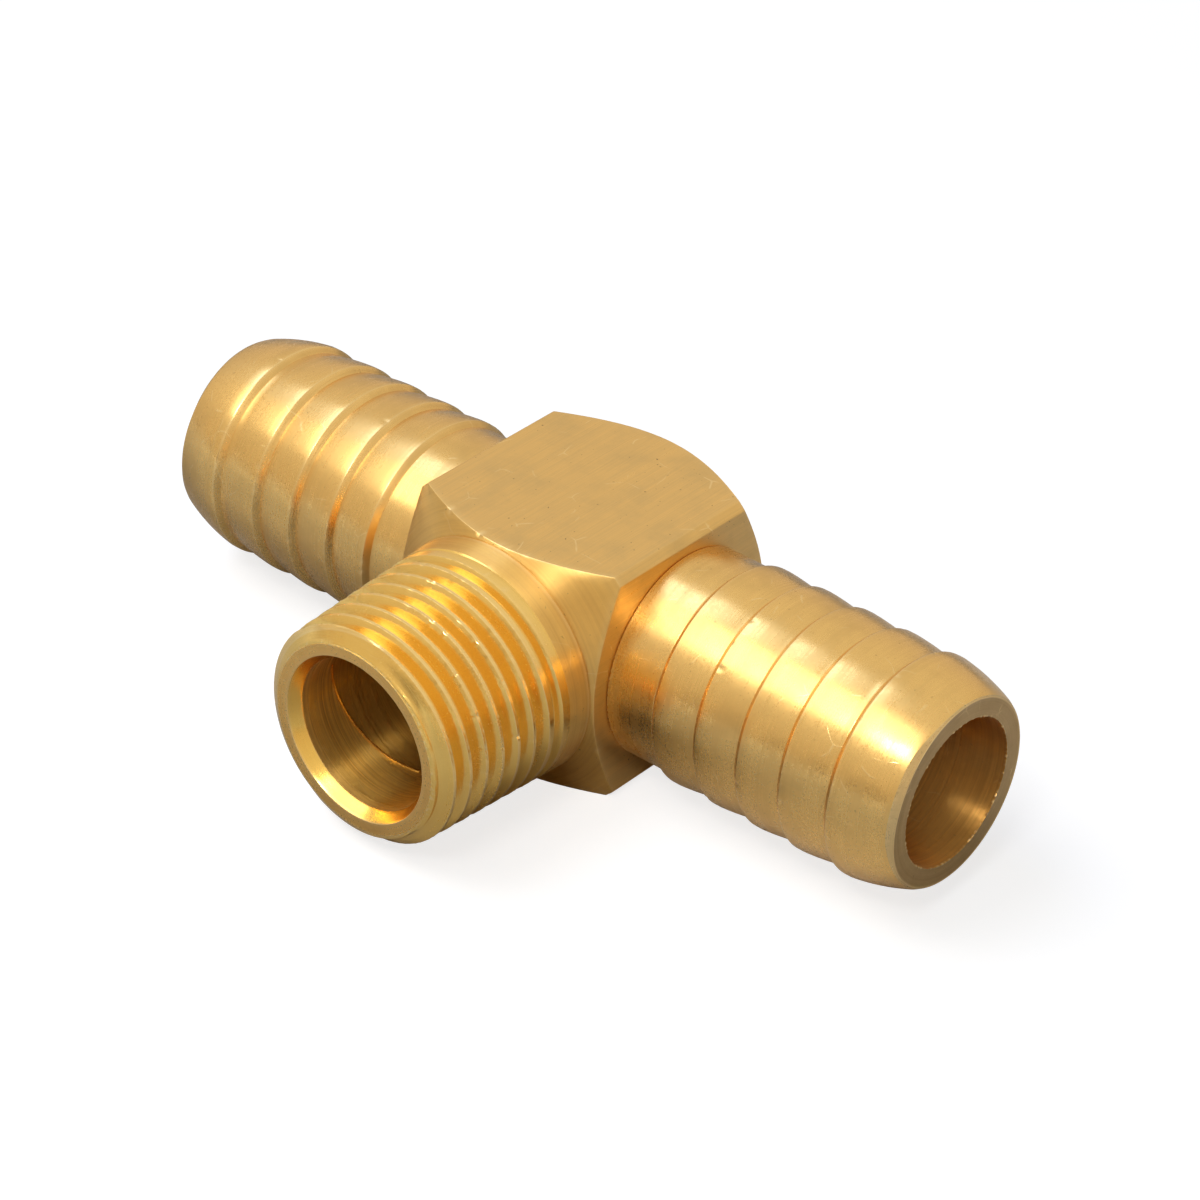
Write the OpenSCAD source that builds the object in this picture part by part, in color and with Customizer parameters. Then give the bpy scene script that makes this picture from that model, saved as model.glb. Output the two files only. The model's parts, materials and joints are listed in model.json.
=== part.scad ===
// Barbed tee connector: a threaded block turned from square brass bar, with a hose
// tail brazed into each side. The run lies along X, the threaded branch points
// along -Y and +Z is up. The origin is where the two waterways cross. Millimetres.

/* [Block] */
// Width of the square bar across its flats
bar_w = 22; // [21:0.5:30]
// Flat that breaks each long corner of the bar, measured along a face
corner_break = 0.65; // [0.3:0.05:1.5]
// Distance from the run axis to the front corners of the bar
front_corner_y = 8.2; // [7:0.1:12]
// Slope of the turned front shoulder, from the plane square to the branch
front_angle = 35; // [15:1:50]
// Distance from the run axis to the back corners of the bar
back_corner_y = 7.7; // [7:0.1:12]
// Slope of the turned back end, from the plane square to the branch
back_angle = 38; // [15:1:50]
// Diameter of the flat disc left on the back end
back_face_d = 20.4; // [14:0.1:21]

/* [Branch] */
// Diameter of the neck where it leaves the front shoulder
neck_d = 21.6; // [19:0.1:21.8]
// Length of the plain neck, from the shoulder to the thread
neck_len = 2.4; // [1:0.1:6]
// Length of the male thread, from the neck to the end face
thread_len = 14.4; // [10:0.1:20]
// Pitch of the thread, 14 turns to the inch
thread_pitch = 1.814; // [1:0.001:2.5]
// Depth of the thread groove below the crest
thread_depth = 1.1; // [0.4:0.05:1.2]
// Width of the flat crest
thread_crest_w = 0.3; // [0.2:0.05:0.7]
// Angle of each thread flank from the plane square to the axis
thread_flank = 27.5; // [20:0.5:30]
// Loss of radius for each millimetre along the branch
branch_taper = 0.05; // [0:0.005:0.08]
// Length of the lead-in chamfer on the end of the thread
lead_len = 0.8; // [0.5:0.1:2.5]
// Diameter of the branch waterway
branch_bore_d = 13.8; // [8:0.1:15]
// Depth of the countersink at the mouth of the branch
mouth_depth = 1.15; // [0.3:0.05:2]
// Slope of the countersink from the branch axis
mouth_angle = 30; // [20:1:45]
// Width of the flat ring left on the end face
end_land = 1; // [0.5:0.05:1.5]

/* [Hose tails] */
// Length of a tail outside the block
tail_len = 29; // [26:0.5:45]
// Diameter over the crests of the ridges
tail_crest_d = 19.9; // [15:0.1:20.5]
// Height of a ridge above the root of the tail
ridge_h = 0.45; // [0.2:0.05:0.8]
// Distance from the block to the first ridge
first_ridge = 5.4; // [3:0.1:8]
// Distance between one ridge and the next
ridge_pitch = 4.4; // [3:0.1:4.6]
// Extra distance before the ridge at the free end
last_ridge_gap = 0.4; // [0:0.1:1]
// Number of ridges on each tail
ridge_count = 5; // [3:1:5]
// Length of the steep side of a ridge, which faces the block
ridge_rise = 0.5; // [0.1:0.05:0.9]
// Length of the round land on top of a ridge
ridge_land = 0.6; // [0.3:0.05:1]
// Loss of radius along the nose of the tail
nose_drop = 1.2; // [0.5:0.05:1.4]
// Length of the round-over at the free end
nose_round = 0.5; // [0.2:0.05:0.8]
// Thickness of the tail wall at its root
tail_wall = 2.8; // [1.5:0.1:3.5]

/* [Brazed joints] */
// Width of the shoulder that seats on the face of the block
seat_w = 1; // [0.5:0.05:1.2]
// Wall left between a socket and the branch waterway
socket_web = 1.1; // [0.8:0.1:2]
// Gap all round a spigot for the filler metal
braze_gap = 0.05; // [0.02:0.01:0.1]
// Gap between the end of a spigot and the floor of its socket
floor_gap = 0.2; // [0.1:0.05:0.5]
// Width of the filler groove, the chamfer on the mouth of a socket
groove_w = 0.5; // [0.2:0.05:0.8]

/* [Hidden] */

$fn = 120;
eps = 0.01;
crown_steps = 6;
thread_runout = 2;

half_w = bar_w / 2;
corner_r = norm([half_w, half_w - corner_break]);
neck_r = neck_d / 2;
neck_y = front_corner_y + (corner_r - neck_r) * tan(front_angle);
thread_y = neck_y + neck_len;
branch_y = thread_y + thread_len;
back_face_r = back_face_d / 2;
back_y = back_corner_y + (corner_r - back_face_r) * tan(back_angle);
branch_bore_r = branch_bore_d / 2;
mouth_r = branch_bore_r + mouth_depth * tan(mouth_angle);
end_face_r = mouth_r + end_land;

crest_r = tail_crest_d / 2;
root_r = crest_r - ridge_h;
bore_r = root_r - tail_wall;
spigot_r = root_r - seat_w;
socket_r = spigot_r + braze_gap;
socket_floor_x = branch_bore_r + socket_web;
tail_x = half_w + tail_len;
nose_r = crest_r - nose_drop;
end_r = nose_r - nose_round;

brass = "#b5924c";
satin_brass = "#c2a068";
filler = "#c9b48a";

// Radius of the turned branch at a distance y from the run axis
function blank_r(y) = neck_r - branch_taper * (y - neck_y);

// Distance of ridge i from the run axis, at the foot of its land
function ridge_x(i) = half_w + first_ridge + i * ridge_pitch
    + (i == ridge_count - 1 ? last_ridge_gap : 0);

// Points of a domed slope from [x0, r0] down to [x1, r1], level at its top
function crown(x0, r0, x1, r1) = [for (k = [1:crown_steps])
    let (t = k / crown_steps) [x0 + (x1 - x0) * t, r0 - (r0 - r1) * (t + t * t) / 2]];

// Outline of one ridge, from the foot of its steep side to the foot of the next
function ridge(i) = concat(
    [[ridge_x(i) - ridge_rise, root_r], [ridge_x(i), crest_r], [ridge_x(i) + ridge_land, crest_r]],
    i < ridge_count - 1
        ? crown(ridge_x(i) + ridge_land, crest_r, ridge_x(i + 1) - ridge_rise - eps, root_r)
        : crown(ridge_x(i) + ridge_land, crest_r, tail_x - nose_round, nose_r));

// Swaps [along, radius] for the [radius, along] that rotate_extrude takes
function turned(points) = [for (p = points) [p[1], p[0]]];

module about_x() { rotate([0, 90, 0]) rotate_extrude() children(); }
module about_branch() { rotate([90, 0, 0]) rotate_extrude() children(); }

// Square bar with broken corners, lying along Y
module bar() {
    c = half_w - corner_break;
    rotate([90, 0, 0])
        linear_extrude(height = 2 * branch_y, center = true)
            polygon([[half_w, -c], [half_w, c], [c, half_w], [-c, half_w],
                     [-half_w, c], [-half_w, -c], [-c, -half_w], [c, -half_w]]);
}

// Turned envelope of the block, which cuts the bar's corners back at both ends
module block_envelope() {
    about_branch() polygon(turned([
        [-back_y, 0], [-back_y, back_face_r], [-back_corner_y, corner_r],
        [-back_corner_y, 2 * half_w], [front_corner_y, 2 * half_w],
        [front_corner_y, corner_r], [neck_y, neck_r], [neck_y, 0]]));
}

// Turned neck and thread blank with the lead-in chamfer
module branch_blank() {
    about_branch() polygon(turned([
        [0, 0], [0, root_r], [neck_y - 1, root_r], [neck_y - eps, neck_r], [neck_y, neck_r],
        [branch_y - lead_len, blank_r(branch_y - lead_len)],
        [branch_y, end_face_r], [branch_y, 0]]));
}

// One thread groove, a ring centred at a distance y from the run axis. Where the pitch is
// too fine for the whole depth, the groove ends where its flanks meet.
module thread_groove(y, depth) {
    r = blank_r(y);
    half_mouth = (thread_pitch - thread_crest_w) / 2;
    root_depth = min(depth, (half_mouth - eps) / tan(thread_flank));
    half_root = half_mouth - root_depth * tan(thread_flank);
    flare = half_mouth + tan(thread_flank);
    about_branch() polygon(turned([
        [y - flare, r + 1], [y - half_root, r - root_depth],
        [y + half_root, r - root_depth], [y + flare, r + 1]]));
}

// Socket for a tail, with the filler groove round its mouth
module socket() {
    about_x() polygon(turned([
        [socket_floor_x, 0], [socket_floor_x, socket_r], [half_w - groove_w, socket_r],
        [half_w + 1, socket_r + groove_w + 1], [half_w + 1, 0]]));
}

module tee_body() {
    grooves = round(thread_len / thread_pitch);
    color(brass)
    difference() {
        union() {
            intersection() {
                bar();
                block_envelope();
            }
            branch_blank();
        }
        for (i = [0:grooves - 1])
            thread_groove(thread_y + (i + 0.5) * thread_pitch,
                          thread_depth * min(1, (i + 1) / thread_runout));
        rotate([90, 0, 0]) cylinder(r = branch_bore_r, h = branch_y + 1);
        about_branch() polygon(turned([
            [branch_y - mouth_depth, 0], [branch_y - mouth_depth, branch_bore_r],
            [branch_y, mouth_r], [branch_y + 1, mouth_r], [branch_y + 1, 0]]));
        rotate([0, 90, 0]) cylinder(r = bore_r, h = bar_w + 2, center = true);
        socket();
        mirror([1, 0, 0]) socket();
    }
}

// Hose tail on the +X side: spigot, seat, ridges, nose and waterway
module barb() {
    spigot_x = socket_floor_x + floor_gap;
    difference() {
        about_x() polygon(turned(concat(
            [[spigot_x, 0], [spigot_x, spigot_r], [half_w, spigot_r], [half_w, root_r]],
            [for (i = [0:ridge_count - 1]) each ridge(i)],
            [[tail_x - nose_round * 0.3, nose_r - nose_round * 0.3], [tail_x, end_r], [tail_x, 0]])));
        rotate([0, 90, 0]) cylinder(r = bore_r, h = tail_x + 1);
    }
}

// Ring of filler metal on the +X side, in the groove round the mouth of the socket
module braze_ring() {
    about_x() polygon(turned([
        [half_w - groove_w, spigot_r], [half_w, spigot_r],
        [half_w, socket_r + groove_w], [half_w - groove_w, socket_r]]));
}

module barb_left() { color(satin_brass) mirror([1, 0, 0]) barb(); }
module barb_right() { color(satin_brass) barb(); }
module braze_ring_left() { color(filler) mirror([1, 0, 0]) braze_ring(); }
module braze_ring_right() { color(filler) braze_ring(); }

tee_body();
barb_left();
barb_right();
braze_ring_left();
braze_ring_right();
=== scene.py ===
"""Looks of a barbed tee connector: a threaded brass block with two brazed hose tails.

The run lies along X, the threaded branch points along -Y and +Z is up. Lengths in the
classes below are in millimetres and are turned into metres where a mesh is made.
"""
import json
import logging
import math
from contextlib import contextmanager
from dataclasses import dataclass, field
from enum import Enum
from typing import Callable, Iterator, Sequence

import bmesh
import bpy
import numpy as np
from mathutils import Euler, Matrix, Vector

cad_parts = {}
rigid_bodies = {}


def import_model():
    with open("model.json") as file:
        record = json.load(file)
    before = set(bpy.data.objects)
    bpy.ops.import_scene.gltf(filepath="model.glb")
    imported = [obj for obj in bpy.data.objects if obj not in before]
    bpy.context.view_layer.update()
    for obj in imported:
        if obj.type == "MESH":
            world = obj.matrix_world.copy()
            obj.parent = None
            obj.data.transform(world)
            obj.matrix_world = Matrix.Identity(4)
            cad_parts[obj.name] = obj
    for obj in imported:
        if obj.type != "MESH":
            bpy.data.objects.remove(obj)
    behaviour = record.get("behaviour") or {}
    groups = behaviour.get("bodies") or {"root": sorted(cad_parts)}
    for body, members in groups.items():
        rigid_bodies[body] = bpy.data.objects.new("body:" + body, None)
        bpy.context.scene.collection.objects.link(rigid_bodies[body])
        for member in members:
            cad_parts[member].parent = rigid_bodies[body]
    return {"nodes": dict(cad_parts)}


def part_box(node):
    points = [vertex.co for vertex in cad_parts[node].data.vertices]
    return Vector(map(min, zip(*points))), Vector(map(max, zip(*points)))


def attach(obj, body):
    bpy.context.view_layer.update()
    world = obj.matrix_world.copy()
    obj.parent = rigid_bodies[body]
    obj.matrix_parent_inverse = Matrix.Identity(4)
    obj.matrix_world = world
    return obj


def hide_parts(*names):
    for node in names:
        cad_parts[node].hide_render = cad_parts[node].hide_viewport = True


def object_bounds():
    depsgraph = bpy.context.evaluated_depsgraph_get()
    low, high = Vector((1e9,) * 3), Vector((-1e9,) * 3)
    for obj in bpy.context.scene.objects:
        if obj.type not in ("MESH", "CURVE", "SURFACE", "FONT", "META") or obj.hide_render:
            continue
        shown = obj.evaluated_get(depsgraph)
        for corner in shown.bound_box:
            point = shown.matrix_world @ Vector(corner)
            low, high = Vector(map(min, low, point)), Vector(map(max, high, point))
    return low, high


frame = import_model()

CAD_LOW, CAD_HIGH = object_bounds()

MM = 0.001
FULL_TURN = 2 * math.pi
WELD = 2e-6
BODY = "root"
WEAR = "wear"

# How far a dent brightens the metal round it, and how many of its radii that reaches
DENT_WEAR = 0.35
DENT_REACH = 1.2

# The helical ridge in the branch waterway: the angle where it starts, in degrees, its
# place on the branch and its lead
RIDGE_START = 162.0
RIDGE_MOUTH_Y = 23.7
RIDGE_LEAD = 10.0

# Noise scales, for each metre
PATCH_SCALE = 260.0
GRAIN_SCALE = 4200.0
SPECK_SCALE = 3100.0
SCRATCH_WARP_SCALE = 160.0
SCRATCH_CELL_SCALE = 210.0
SCRATCH_GAP_SCALE = 420.0

RGB = tuple[float, float, float]
Array = np.ndarray

log = logging.getLogger("barbed_tee")


# --------------------------------------------------------------------------- bench


def deselect_all() -> None:
    """Leave nothing selected, so that an operator acts only on what is picked next."""
    for item in bpy.context.view_layer.objects:
        item.select_set(False)


def pick(piece: bpy.types.Object) -> None:
    """Select one piece alone and make it active.

    Args:
        piece: The piece that the next operators act on.
    """
    deselect_all()
    piece.select_set(True)
    bpy.context.view_layer.objects.active = piece


@contextmanager
def editing(piece: bpy.types.Object, element: str = "VERT") -> Iterator[bmesh.types.BMesh]:
    """Open a piece in edit mode with nothing selected, and close it again.

    Args:
        piece: The piece to edit.
        element: VERT, EDGE or FACE, the kind of element that is picked.

    Returns:
        The piece's edit mesh.
    """
    pick(piece)
    bpy.ops.object.mode_set(mode="EDIT")
    bpy.ops.mesh.select_mode(type=element)
    bpy.ops.mesh.select_all(action="DESELECT")
    yield bmesh.from_edit_mesh(piece.data)
    bpy.ops.object.mode_set(mode="OBJECT")


def settle(piece: bpy.types.Object) -> None:
    """Put a piece's place, turn and scale into its mesh.

    Args:
        piece: The piece, which ends at the origin.
    """
    pick(piece)
    bpy.ops.object.transform_apply(location=True, rotation=True, scale=True)


def weld(piece: bpy.types.Object) -> None:
    """Merge doubled points and turn every face outwards.

    Args:
        piece: The piece with open seams or collapsed rows.
    """
    with editing(piece):
        bpy.ops.mesh.select_all(action="SELECT")
        bpy.ops.mesh.remove_doubles(threshold=WELD)
        bpy.ops.mesh.dissolve_degenerate(threshold=WELD)
        bpy.ops.mesh.select_all(action="SELECT")
        bpy.ops.mesh.normals_make_consistent(inside=False)


def smooth(piece: bpy.types.Object, degrees: float = 24.0) -> None:
    """Shade a piece smooth, with crisp edges where it turns sharply.

    Args:
        piece: The piece to shade.
        degrees: The turn above which an edge stays crisp.
    """
    pick(piece)
    bpy.ops.object.shade_smooth_by_angle(angle=math.radians(degrees))


def cut(piece: bpy.types.Object, cutter: bpy.types.Object) -> None:
    """Cut one solid out of a piece and throw the cutter away.

    Args:
        piece: The piece to machine.
        cutter: The solid that is taken out of it.
    """
    pick(piece)
    bpy.ops.object.modifier_add(type="BOOLEAN")
    tool = piece.modifiers[-1]
    tool.operation = "DIFFERENCE"
    tool.solver = "EXACT"
    tool.object = cutter
    bpy.ops.object.modifier_apply(modifier=tool.name)
    bpy.data.objects.remove(cutter, do_unlink=True)


@dataclass
class Rows:
    """Rows of points round an axis, from which a turned skin is wrapped.

    Attributes:
        angles: The angle of each column, in radians, with the first repeated at the end.
    """

    angles: Array
    along: list[Array] = field(default_factory=list)
    radius: list[Array] = field(default_factory=list)
    wear: list[Array] = field(default_factory=list)

    def add(self, along: Array | float, radius: Array | float, wear: Array | float = 0.0) -> None:
        """Add one row.

        Args:
            along: Place along the axis, in millimetres, for all columns or for each.
            radius: Distance from the axis, in millimetres.
            wear: How far the metal is rubbed bright, from 0 to 1.
        """
        shape = self.angles.shape
        self.along.append(np.broadcast_to(np.asarray(along, float), shape))
        self.radius.append(np.broadcast_to(np.asarray(radius, float), shape))
        self.wear.append(np.broadcast_to(np.asarray(wear, float), shape))

    def line(self, start: Sequence, end: Sequence, shares: Sequence[float]) -> None:
        """Add rows on straight lines between two ends.

        Args:
            start: (along, radius) at share 0, for all columns or for each.
            end: (along, radius) at share 1.
            shares: Where the rows lie, from 0 to 1.
        """
        for share in shares:
            self.add(
                start[0] + (end[0] - start[0]) * share,
                start[1] + (end[1] - start[1]) * share,
            )

    def round_edge(self, before: Sequence, corner: Sequence, after: Sequence, wear: float) -> None:
        """Add four rows that round a corner off.

        Args:
            before: (along, radius) where the round-over starts.
            corner: (along, radius) of the sharp corner.
            after: (along, radius) where the round-over ends.
            wear: How bright the edge is rubbed.
        """
        for share in (0.0, 0.33, 0.67, 1.0):
            near, mid, far = (1 - share) ** 2, 2 * share * (1 - share), share ** 2
            rubbed = wear * (1.0 if 0 < share < 1 else 0.35)
            self.add(
                before[0] * near + corner[0] * mid + after[0] * far,
                before[1] * near + corner[1] * mid + after[1] * far,
                rubbed,
            )

    def stacked(self) -> tuple[Array, Array, Array]:
        """Return along, radius and wear as arrays of rows by columns."""
        return np.stack(self.along), np.stack(self.radius), np.stack(self.wear)


def wrap_grid(name: str, places: Array, wear: Array) -> bpy.types.Object:
    """Wrap a primitive grid round an axis and close its seam.

    Args:
        name: Name of the new piece.
        places: Rows by columns by three, in millimetres.
        wear: Rows by columns, kept on the mesh for its finish.

    Returns:
        The closed skin.
    """
    rows, columns = wear.shape
    deselect_all()
    bpy.ops.mesh.primitive_grid_add(x_subdivisions=columns - 1, y_subdivisions=rows - 1, size=2)
    piece = bpy.context.active_object
    piece.name = name
    piece.data.name = name
    flat = np.empty(len(piece.data.vertices) * 3)
    piece.data.vertices.foreach_get("co", flat)
    flat = flat.reshape(-1, 3)
    column = np.rint((flat[:, 0] + 1) / 2 * (columns - 1)).astype(int)
    row = np.rint((flat[:, 1] + 1) / 2 * (rows - 1)).astype(int)
    piece.data.vertices.foreach_set("co", (places[row, column] * MM).ravel())
    layer = piece.data.attributes.new(WEAR, "FLOAT", "POINT")
    layer.data.foreach_set("value", wear[row, column].astype(np.float32))
    piece.data.update()
    weld(piece)
    return piece


def ripple(random: np.random.Generator, angles: Array, waves: Sequence[int]) -> Array:
    """Return an uneven burr round a turn, from 0 to 1.

    Args:
        random: The piece's own random numbers.
        angles: Angle of each column.
        waves: How many times each part of the burr repeats in a turn.

    Returns:
        The height of the burr at each column.
    """
    total = sum(np.sin(angles * wave + random.uniform(0, FULL_TURN)) for wave in waves)
    return np.clip(total / len(waves) * 1.6, 0, 1)


def dent(places: Array, wear: Array, centre: Sequence[float], width: float, depth: Array) -> None:
    """Press a small dent into a skin and brighten its rim.

    Args:
        places: Points of the skin, changed in place.
        wear: Wear of the skin, changed in place.
        centre: Middle of the dent.
        width: Its radius.
        depth: The vector along which the middle moves.
    """
    away = np.linalg.norm(places - np.asarray(centre), axis=-1) / width
    share = np.clip(1 - away, 0, 1)
    soft = share * share * (3 - 2 * share)
    places += soft[..., None] * np.asarray(depth)
    wear += DENT_WEAR * np.clip(DENT_REACH - away, 0, 1)


# ------------------------------------------------------------------------ finishes


class Marks(Enum):
    """Which way a tool has left its marks."""

    DRAWN = "drawn along the bar"
    TURNED_BRANCH = "turned about the branch"
    TURNED_RUN = "turned about the run"
    PLAIN = "no direction"


class Graph:
    """A small builder of shader nodes for one material."""

    def __init__(self, name: str) -> None:
        """Start an empty material.

        Args:
            name: Name of the material.
        """
        self.material = bpy.data.materials.new(name)
        self.material.use_nodes = True
        self.tree = self.material.node_tree
        self.tree.nodes.clear()

    def node(self, kind: str, **settings: object) -> bpy.types.Node:
        """Add a node and set its properties.

        Args:
            kind: The node's type, without its ShaderNode prefix.
            settings: Properties of the node.

        Returns:
            The new node.
        """
        made = self.tree.nodes.new("ShaderNode" + kind)
        for key, value in settings.items():
            setattr(made, key, value)
        return made

    def feed(self, socket: bpy.types.NodeSocket, source: object) -> None:
        """Link a socket to another, or set its value.

        Args:
            socket: The input.
            source: An output socket, a number or a tuple.
        """
        if isinstance(source, bpy.types.NodeSocket):
            self.tree.links.new(source, socket)
        else:
            socket.default_value = source

    def math(self, operation: str, *terms: object, clamp: bool = False) -> bpy.types.NodeSocket:
        """Add a Math node.

        Args:
            operation: Name of the operation.
            terms: Its inputs, as sockets or numbers.
            clamp: Whether the result is held between 0 and 1.

        Returns:
            The result.
        """
        made = self.node("Math", operation=operation, use_clamp=clamp)
        for socket, term in zip(made.inputs, terms):
            self.feed(socket, term)
        return made.outputs[0]

    def split(self) -> tuple[bpy.types.NodeSocket, ...]:
        """Take the Object coordinates apart.

        Returns:
            The x, y and z sockets.
        """
        place = self.node("TexCoord").outputs["Object"]
        apart = self.node("SeparateXYZ")
        self.feed(apart.inputs[0], place)
        return tuple(apart.outputs)

    def join(self, *parts: object) -> bpy.types.NodeSocket:
        """Make a vector of three parts.

        Args:
            parts: The x, y and z parts, as sockets or numbers.

        Returns:
            The vector.
        """
        made = self.node("CombineXYZ")
        for socket, part in zip(made.inputs, parts):
            self.feed(socket, part)
        return made.outputs[0]

    def noise(
        self, vector: object, scale: float, detail: float = 2.0, rough: float = 0.5
    ) -> bpy.types.NodeSocket:
        """Add a noise texture.

        Args:
            vector: Where the noise is read.
            scale: Features for each metre.
            detail: Number of finer layers.
            rough: How strong the finer layers are.

        Returns:
            A value from 0 to 1.
        """
        made = self.node("TexNoise", noise_dimensions="3D")
        self.feed(made.inputs["Vector"], vector)
        made.inputs["Scale"].default_value = scale
        made.inputs["Detail"].default_value = detail
        made.inputs["Roughness"].default_value = rough
        return made.outputs["Fac"]

    def remap(
        self, value: object, low: float, high: float, out_low: float, out_high: float
    ) -> bpy.types.NodeSocket:
        """Stretch a value from one range to another, and clamp it.

        Args:
            value: The value.
            low: Start of its range.
            high: End of its range.
            out_low: Result at the start.
            out_high: Result at the end.

        Returns:
            The stretched value.
        """
        made = self.node("MapRange", clamp=True)
        self.feed(made.inputs["Value"], value)
        names = ("From Min", "From Max", "To Min", "To Max")
        for name, number in zip(names, (low, high, out_low, out_high)):
            made.inputs[name].default_value = number
        return made.outputs[0]

    def blend(self, share: object, first: object, second: object) -> bpy.types.NodeSocket:
        """Mix two colours.

        Args:
            share: How much of the second colour there is.
            first: The first colour.
            second: The second colour.

        Returns:
            The mixed colour.
        """
        made = self.node("Mix", data_type="RGBA", blend_type="MIX")
        self.feed(made.inputs[0], share)
        self.feed(made.inputs[6], first)
        self.feed(made.inputs[7], second)
        return made.outputs[2]

    def wear(self) -> bpy.types.NodeSocket:
        """Return how far each point of the piece is rubbed bright."""
        return self.node("Attribute", attribute_name=WEAR).outputs["Fac"]

    def bump(
        self, height: object, distance: float, strength: float, below: object = None
    ) -> bpy.types.NodeSocket:
        """Raise the surface by a height.

        Args:
            height: The height, from 0 to 1.
            distance: Its full height, in metres.
            strength: How strongly it shows.
            below: The normal that it is laid on.

        Returns:
            The raised normal.
        """
        made = self.node("Bump")
        made.inputs["Strength"].default_value = strength
        made.inputs["Distance"].default_value = distance
        self.feed(made.inputs["Height"], height)
        if below is not None:
            self.feed(made.inputs["Normal"], below)
        return made.outputs[0]


def opaque(colour: RGB) -> tuple[float, float, float, float]:
    """Return a colour with full alpha."""
    return (*colour, 1.0)


@dataclass(frozen=True)
class BrassFinish:
    """One finish of machined brass.

    Attributes:
        name: Name of the material.
        marks: Which way the tool marks run.
        metal: Colour of the clean metal.
        tarnish: Colour of the duller patches.
        roughness: Roughness of the clean metal.
        spread: How much the roughness changes across the marks.
        line_scale: Tool marks for each metre.
        line_depth: Depth of the tool marks, in metres.
        line_tone: How strongly the marks darken the metal.
        patch: How strongly the dull patches show.
        pits: How strongly dark specks show.
        scratches: How strongly stray scratches show.
        grain: Depth of the fine grain, in metres.
        anisotropy: How far highlights stretch across the marks.
        shaded_deep_wall: Whether the wall deeper than the drill's ridge is darkened with painted shade.
        bright: Colour where the metal is rubbed or scratched.
        speck: Colour of the dark specks.
    """

    name: str
    marks: Marks
    metal: RGB
    tarnish: RGB
    roughness: float
    spread: float
    line_scale: float
    line_depth: float
    line_tone: float
    patch: float
    pits: float
    scratches: float = 0.0
    grain: float = 0.000001
    anisotropy: float = 0.0
    shaded_deep_wall: bool = False
    bright: RGB = (0.96, 0.70, 0.32)
    speck: RGB = (0.20, 0.12, 0.05)

    def stretched(self, graph: Graph) -> bpy.types.NodeSocket:
        """Stretch the coordinates along the tool marks.

        Args:
            graph: The material that is being built.

        Returns:
            A vector that changes fast across the marks and slowly along them.
        """
        slow = 0.012
        x, y, z = graph.split()
        if self.marks is Marks.DRAWN:
            return graph.join(x, graph.math("MULTIPLY", y, slow), z)
        if self.marks is Marks.PLAIN:
            return graph.join(x, y, z)
        axis, one, other = (y, x, z) if self.marks is Marks.TURNED_BRANCH else (x, y, z)
        squares = [graph.math("POWER", part, 2.0) for part in (one, other)]
        reach = graph.math("SQRT", graph.math("ADD", *squares))
        drift = graph.math("MULTIPLY", graph.math("ADD", one, graph.math("MULTIPLY", other, 0.7)), slow)
        return graph.join(axis, reach, drift)

    def scratch_mask(self, graph: Graph, place: object) -> bpy.types.NodeSocket:
        """Draw thin broken scratches.

        Args:
            graph: The material that is being built.
            place: Object coordinates.

        Returns:
            1 on a scratch and 0 elsewhere.
        """
        warp = graph.node("TexNoise", noise_dimensions="3D")
        graph.feed(warp.inputs["Vector"], place)
        warp.inputs["Scale"].default_value = SCRATCH_WARP_SCALE
        push = graph.node("VectorMath", operation="MULTIPLY_ADD")
        graph.feed(push.inputs[0], warp.outputs["Color"])
        push.inputs[1].default_value = (0.004, 0.004, 0.004)
        graph.feed(push.inputs[2], place)
        cells = graph.node("TexVoronoi", feature="DISTANCE_TO_EDGE")
        graph.feed(cells.inputs["Vector"], push.outputs[0])
        cells.inputs["Scale"].default_value = SCRATCH_CELL_SCALE
        thin = graph.remap(cells.outputs["Distance"], 0.004, 0.014, 1.0, 0.0)
        broken = graph.remap(graph.noise(place, SCRATCH_GAP_SCALE, 2.0), 0.55, 0.62, 0.0, 1.0)
        return graph.math("MULTIPLY", thin, broken)

    def deep_wall_shade(self, graph: Graph) -> bpy.types.NodeSocket:
        """Find the wall of the branch waterway that lies deeper than the drill's ridge, which painted
        shade darkens.

        Args:
            graph: The material that is being built.

        Returns:
            1 on the deeper wall and 0 elsewhere.
        """
        x, y, z = graph.split()
        turn = graph.math("ARCTAN2", graph.math("MULTIPLY", z, -1.0), graph.math("MULTIPLY", x, -1.0))
        lead = RIDGE_LEAD * MM / FULL_TURN
        start = -RIDGE_MOUTH_Y * MM + math.radians(180.0 - RIDGE_START) * lead
        away = graph.math("SUBTRACT", y, graph.math("MULTIPLY_ADD", turn, lead, start))
        return graph.remap(away, -0.0001, 0.0002, 0.0, 1.0)

    def build(self) -> bpy.types.Material:
        """Build the material.

        Returns:
            The finished material.
        """
        graph = Graph(self.name)
        place = graph.join(*graph.split())
        across = self.stretched(graph)
        fine = graph.noise(across, self.line_scale, 3.0, 0.65)
        broad = graph.noise(across, self.line_scale * 0.13, 2.0)
        patches = graph.noise(place, PATCH_SCALE, 4.0, 0.6)
        grain = graph.noise(place, GRAIN_SCALE, 2.0, 0.6)
        specks = graph.noise(place, SPECK_SCALE, 1.0)
        lines = graph.math("ADD", graph.math("MULTIPLY", fine, 0.6), graph.math("MULTIPLY", broad, 0.4))

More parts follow.
